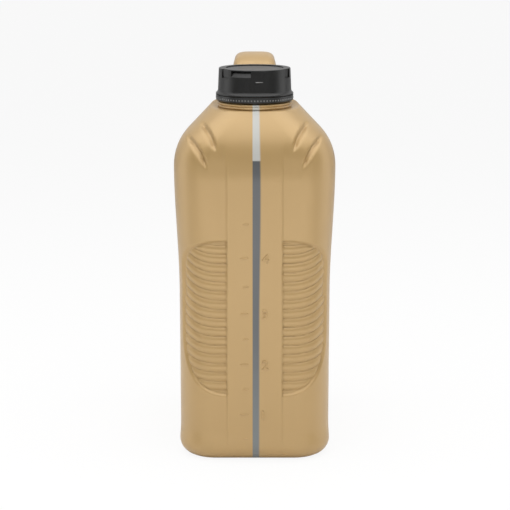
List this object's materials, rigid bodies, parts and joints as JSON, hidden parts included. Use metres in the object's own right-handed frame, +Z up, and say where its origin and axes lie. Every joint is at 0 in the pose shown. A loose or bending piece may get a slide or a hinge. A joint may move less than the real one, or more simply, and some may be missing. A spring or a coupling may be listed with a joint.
{
  "type": "motor oil bottle",
  "caption": "Gold blow-moulded plastic jug with a view stripe, ribbed grips, rear carry handle and a black screw cap with tamper band, filled with motor oil.",
  "frame": {"origin": "centre of the base, on the surface the jug stands on", "axes": "+Z up, -Y towards the narrow face under the neck, +Y towards the handle, X across"},
  "size_m": [0.1352, 0.192, 0.334],
  "materials": {
    "bottle_plastic": "pearly gold moulded polyethylene with a translucent view stripe",
    "cap_plastic": "satin black polypropylene",
    "seal_foam": "white expanded polyethylene wad",
    "oil": "clear amber lubricating oil"
  },
  "bodies": {
    "jug": {"bottle": "bottle_plastic", "tamper_band": "cap_plastic", "motor_oil": "oil"},
    "seal": {"sealing_disc": "seal_foam"},
    "closure": {"cap": "cap_plastic"}
  },
  "joints": [
    {"name": "cap_lift", "type": "slide", "parent": "jug", "child": "seal", "axis": [0, 0, 1], "range_m": [0, 0.0075]},
    {"name": "cap_turn", "type": "hinge", "parent": "seal", "child": "closure", "pos_m": [0, -0.045, 0.315], "axis": [0, 0, 1], "range_deg": [0, 540]}
  ],
  "couplings": [
    {"joint": "cap_lift", "follows": "cap_turn", "m_per_rad": 0.00079577}
  ]
}
